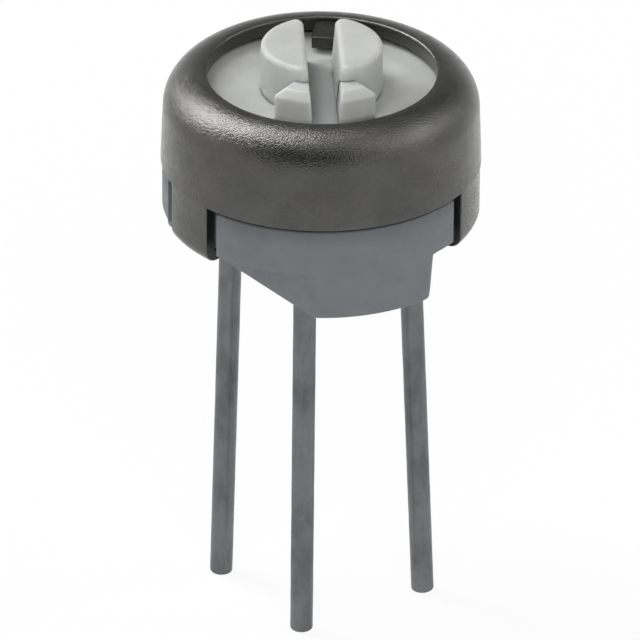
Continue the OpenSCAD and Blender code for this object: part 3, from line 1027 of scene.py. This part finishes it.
class TRIMMER_OT_build_base(bpy.types.Operator):
    """Build the moulded base with its standoff block, notches and pin holes"""

    bl_idname = "trimmer.build_base"
    bl_label = "Base"

    def execute(self, context):
        settings = context.scene
        s, base = in_mm(settings.trimmer_cap), in_mm(settings.trimmer_base)
        p = in_mm(settings.trimmer_pins)
        shape = scratch_object("base_work", base_shape(s, base, settings.trimmer_stage.columns))
        cutters = []
        for a in PIN_ANGLES:
            c = around(a, p.pitch / math.sqrt(2), 0)
            head_low = p.head_top - p.head
            cutters.append(rod("hole", c.x, c.y, p.shank_radius + HOLE_GAP, -0.5, 2.0))
            cutters.append(rod("recess", c.x, c.y, p.bead_radius + 0.001, -0.4, p.bead))
            cutters.append(rod("head_room", c.x, c.y, p.head_radius + 0.06, head_low, 2.2))
        cut(shape, cutters)
        tone = tuple(settings.trimmer_finishes.base)
        # The base is painted darker just below the skirt's edge, as shade under the cap
        material = moulded_plastic("base_moulding", tone, skirt_shade_z=s.rim_z - s.skirt_depth)
        piece("base_moulding", shape, material, "housing", ["base"])
        return {"FINISHED"}


class TRIMMER_OT_build_rotor(bpy.types.Operator):
    """Build the slotted rotor with its pointer lug"""

    bl_idname = "trimmer.build_rotor"
    bl_label = "Rotor"

    def execute(self, context):
        settings = context.scene
        bm = rotor_shape(in_mm(settings.trimmer_rotor), in_mm(settings.trimmer_cap), ROTOR_COLUMNS)
        tone = tuple(settings.trimmer_finishes.rotor)
        material = moulded_plastic("rotor_moulding", tone, fibre=0.94, depth=0.35)
        piece("rotor_moulding", scratch_object("rotor_work", bm), material,
              "turner", ["rotor"])
        return {"FINISHED"}


class TRIMMER_OT_build_pins(bpy.types.Operator):
    """Build the three tinned pins and the epoxy beads that seal them"""

    bl_idname = "trimmer.build_pins"
    bl_label = "Pins and beads"

    def execute(self, context):
        settings = context.scene
        p, finishes = in_mm(settings.trimmer_pins), settings.trimmer_finishes
        tin, epoxy = tinned_metal(finishes), sealing_epoxy(tuple(finishes.epoxy))
        for i in range(len(PIN_ANGLES)):
            name = "pin_%d" % (i + 1)
            piece("tinned_" + name, scratch_object(name + "_work", pin_shape(i, p)), tin,
                  "housing", [name])
            name = "bead_%d" % (i + 1)
            piece("epoxy_" + name, scratch_object(name + "_work", bead_shape(i, p)), epoxy,
                  "housing", [name])
        return {"FINISHED"}


class TRIMMER_OT_dress_inside(bpy.types.Operator):
    """Give the carried-over CAD pieces inside the housing their materials"""

    bl_idname = "trimmer.dress_inside"
    bl_label = "Inner pieces"

    def execute(self, context):
        f = context.scene.trimmer_finishes
        conductor = rolled_metal("fired_conductor", tuple(f.conductor), 0.45)
        solder = rolled_metal("satin_solder", tuple(f.solder), 0.3)
        finishes = {
            "seal_ring": silicone_rubber(tuple(f.seal)),
            "wiper": rolled_metal("rolled_contact_alloy", tuple(f.contact), 0.28),
            "substrate": fired_ceramic("fired_alumina", tuple(f.alumina), 0.55),
            "resistor_track": fired_ceramic("cermet_film", tuple(f.track), 0.4),
            "collector_ring": conductor, "end_pad_1": conductor, "end_pad_3": conductor,
            "joint_1": solder, "joint_2": solder, "joint_3": solder,
        }
        for node, material in finishes.items():
            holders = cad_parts[node].material_slots
            if not holders:
                raise RuntimeError("CAD node %s has no material slot" % node)
            for holder in holders:
                holder.material = material
        return {"FINISHED"}


class TRIMMER_OT_build_stage(bpy.types.Operator):
    """Set up the camera, the pale floor and the soft studio light"""

    bl_idname = "trimmer.build_stage"
    bl_label = "Stage"

    def execute(self, context):
        settings = context.scene.trimmer_stage
        add_camera(in_mm(settings))
        add_floor(tuple(settings.floor))
        softbox("key_softbox", KEY_SOFTBOX, settings.key_power)
        glint = softbox("glint_softbox", GLINT_SOFTBOX, settings.glint_power)
        glint.visible_diffuse = False
        softbox("fill_softbox", FILL_SOFTBOX, settings.fill_power)
        front = softbox("front_softbox", FRONT_SOFTBOX, settings.front_power)
        front.visible_glossy = False
        add_card("lens_card", LENS_CARD, tuple(settings.lens_card))
        add_card("far_card", FAR_CARD, tuple(settings.far_card))
        add_world(settings.horizon, settings.far_horizon, settings.zenith)
        context.scene.view_settings.view_transform = "Standard"
        return {"FINISHED"}


# ---------------------------------------------------------------- stage


def add_camera(st):
    """Long lens at the photograph's viewing angle, from settings in millimetres."""
    a, p = st.azimuth, st.pitch
    ahead = Vector((-math.sin(a) * math.cos(p), math.cos(a) * math.cos(p), -math.sin(p)))
    right = Vector((math.cos(a), math.sin(a), 0))
    up = right.cross(ahead)
    turn = Matrix.Rotation(-st.roll, 3, ahead)
    right, up = turn @ right, turn @ up
    place = Vector((math.sin(a) * st.distance, -math.cos(a) * st.distance, st.height))
    place -= Vector((math.cos(a), math.sin(a), 0)) * (st.shift_px * st.distance / st.focal_px)
    data = bpy.data.cameras.new("long_lens")
    data.sensor_width = 36.0
    data.sensor_fit = "HORIZONTAL"
    data.lens = st.focal_px * data.sensor_width / FRAME_PX
    data.clip_start = 0.01
    data.clip_end = 20.0
    camera = bpy.data.objects.new("long_lens", data)
    camera.matrix_world = Matrix((
        (right.x, up.x, -ahead.x, place.x * MM),
        (right.y, up.y, -ahead.y, place.y * MM),
        (right.z, up.z, -ahead.z, place.z * MM),
        (0, 0, 0, 1)))
    bpy.context.scene.collection.objects.link(camera)
    bpy.context.scene.camera = camera


def background_ray(tree):
    """1 for rays that should see a plain white background."""
    path = tree.nodes.new("ShaderNodeLightPath")
    first = tree.nodes.new("ShaderNodeMath")
    second = tree.nodes.new("ShaderNodeMath")
    for node in (first, second):
        node.operation = "MAXIMUM"
    tree.links.new(path.outputs["Is Camera Ray"], first.inputs[0])
    tree.links.new(path.outputs["Is Glossy Ray"], first.inputs[1])
    tree.links.new(first.outputs[0], second.inputs[0])
    tree.links.new(path.outputs["Is Transmission Ray"], second.inputs[1])
    return second.outputs[0]


def add_floor(tone):
    """Pale floor at the pins' tips that keeps a faint shadow."""
    material = bpy.data.materials.new("pale_floor")
    material.use_nodes = True
    tree = material.node_tree
    shader = tree.nodes["Principled BSDF"]
    shader.inputs["Base Color"].default_value = (*tone, 1.0)
    shader.inputs["Roughness"].default_value = 0.9
    white = tree.nodes.new("ShaderNodeEmission")
    white.inputs["Strength"].default_value = 1.0
    amount = tree.nodes.new("ShaderNodeMath")
    amount.operation = "MULTIPLY"
    amount.inputs[1].default_value = FLOOR_WHITE
    tree.links.new(background_ray(tree), amount.inputs[0])
    mix = tree.nodes.new("ShaderNodeMixShader")
    tree.links.new(amount.outputs[0], mix.inputs["Fac"])
    tree.links.new(shader.outputs[0], mix.inputs[1])
    tree.links.new(white.outputs[0], mix.inputs[2])
    tree.links.new(mix.outputs[0], tree.nodes["Material Output"].inputs["Surface"])
    floor = sheet("floor", 2 * FLOOR_HALF, 2 * FLOOR_HALF, material)
    floor.location.z = PIN_LOW[2] - FLOOR_GAP


def sheet(name, width, height, material):
    """A flat rectangle that belongs to the stage."""
    bm = bmesh.new()
    for x, y in ((-1, -1), (1, -1), (1, 1), (-1, 1)):
        bm.verts.new((x * width / 2, y * height / 2, 0))
    bm.faces.new(bm.verts)
    mesh = bpy.data.meshes.new(name)
    bm.to_mesh(mesh)
    bm.free()
    mesh.materials.append(material)
    made = bpy.data.objects.new(name, mesh)
    bpy.context.scene.collection.objects.link(made)
    return made


def softbox(name, layout, power):
    """A rectangular area lamp that looks at the object."""
    place, width, height = layout
    data = bpy.data.lights.new(name, "AREA")
    data.shape = "RECTANGLE"
    data.size = width
    data.size_y = height
    data.energy = power
    lamp = bpy.data.objects.new(name, data)
    lamp.visible_camera = False
    lamp.location = place
    ahead = Vector(LAMP_AIM) - Vector(place)
    lamp.rotation_euler = ahead.to_track_quat("-Z", "Y").to_euler()
    bpy.context.scene.collection.objects.link(lamp)
    return lamp


def add_card(name, layout, tone):
    """A card that faces the object and that only mirror rays meet."""
    place, width, height = layout
    material = bpy.data.materials.new(name)
    material.use_nodes = True
    shader = material.node_tree.nodes["Principled BSDF"]
    shader.inputs["Base Color"].default_value = (*tone, 1.0)
    shader.inputs["Roughness"].default_value = 0.9
    card = sheet(name, width, height, material)
    card.location = place
    card.rotation_euler = (-Vector(place)).to_track_quat("Z", "Y").to_euler()
    card.visible_camera = False
    card.visible_diffuse = False
    card.visible_shadow = False


def add_world(horizon, far_horizon, zenith):
    """Soft room light that comes mostly from the front, before a white background."""
    world = bpy.data.worlds.new("soft_room")
    world.use_nodes = True
    bpy.context.scene.world = world
    tree = world.node_tree
    back = tree.nodes["Background"]
    back.inputs["Color"].default_value = (1.0, 1.0, 1.0, 1.0)
    place = tree.nodes.new("ShaderNodeTexCoord")
    axes = tree.nodes.new("ShaderNodeSeparateXYZ")
    room = tree.nodes.new("ShaderNodeMapRange")
    depth = tree.nodes.new("ShaderNodeMapRange")
    depth.inputs["From Min"].default_value = -1.0
    depth.inputs["To Min"].default_value = horizon
    depth.inputs["To Max"].default_value = far_horizon
    room.inputs["To Max"].default_value = zenith
    level = tree.nodes.new("ShaderNodeMapRange")
    level.inputs["To Max"].default_value = 1.0
    tree.links.new(place.outputs["Generated"], axes.inputs[0])
    tree.links.new(axes.outputs["Y"], depth.inputs["Value"])
    tree.links.new(depth.outputs["Result"], room.inputs["To Min"])
    tree.links.new(axes.outputs["Z"], room.inputs["Value"])
    tree.links.new(room.outputs["Result"], level.inputs["To Min"])
    tree.links.new(background_ray(tree), level.inputs["Value"])
    tree.links.new(level.outputs["Result"], back.inputs["Strength"])


# ---------------------------------------------------------------- panel


class TRIMMER_PT_panel(bpy.types.Panel):
    """Sizes, finishes and build steps of the trimmer"""

    bl_idname = "TRIMMER_PT_panel"
    bl_label = "Trimmer"
    bl_space_type = "VIEW_3D"
    bl_region_type = "UI"
    bl_category = "Trimmer"

    def draw(self, context):
        layout = self.layout
        layout.use_property_split = True
        for title, group, operators in SECTIONS:
            box = layout.box()
            box.label(text=title)
            settings = getattr(context.scene, group)
            for key in settings.bl_rna.properties.keys():
                if key not in {"rna_type", "name"}:
                    box.prop(settings, key)
            for operator in operators:
                box.operator(operator)


SECTIONS = (
    ("Stage", "trimmer_stage", ("trimmer.build_stage",)),
    ("Cap", "trimmer_cap", ("trimmer.build_cap",)),
    ("Base", "trimmer_base", ("trimmer.build_base",)),
    ("Rotor", "trimmer_rotor", ("trimmer.build_rotor",)),
    ("Pins", "trimmer_pins", ("trimmer.build_pins",)),
    ("Finishes", "trimmer_finishes", ("trimmer.dress_inside",)),
)

GROUPS = {
    "trimmer_stage": StageSettings,
    "trimmer_cap": CapSizes,
    "trimmer_base": BaseSizes,
    "trimmer_rotor": RotorSizes,
    "trimmer_pins": PinSizes,
    "trimmer_finishes": TrimmerFinishes,
}

CLASSES = (
    *GROUPS.values(),
    TRIMMER_OT_build_stage,
    TRIMMER_OT_build_cap,
    TRIMMER_OT_build_base,
    TRIMMER_OT_build_rotor,
    TRIMMER_OT_build_pins,
    TRIMMER_OT_dress_inside,
    TRIMMER_PT_panel,
)


def register():
    for cls in CLASSES:
        bpy.utils.register_class(cls)
    for name, group in GROUPS.items():
        setattr(bpy.types.Scene, name, PointerProperty(type=group))


def unregister():
    for name in GROUPS:
        delattr(bpy.types.Scene, name)
    for cls in reversed(CLASSES):
        bpy.utils.unregister_class(cls)


def main():
    register()
    bpy.ops.trimmer.build_stage()
    bpy.ops.trimmer.build_cap()
    bpy.ops.trimmer.build_base()
    bpy.ops.trimmer.build_rotor()
    bpy.ops.trimmer.build_pins()
    bpy.ops.trimmer.dress_inside()


if __name__ == "__main__":
    main()
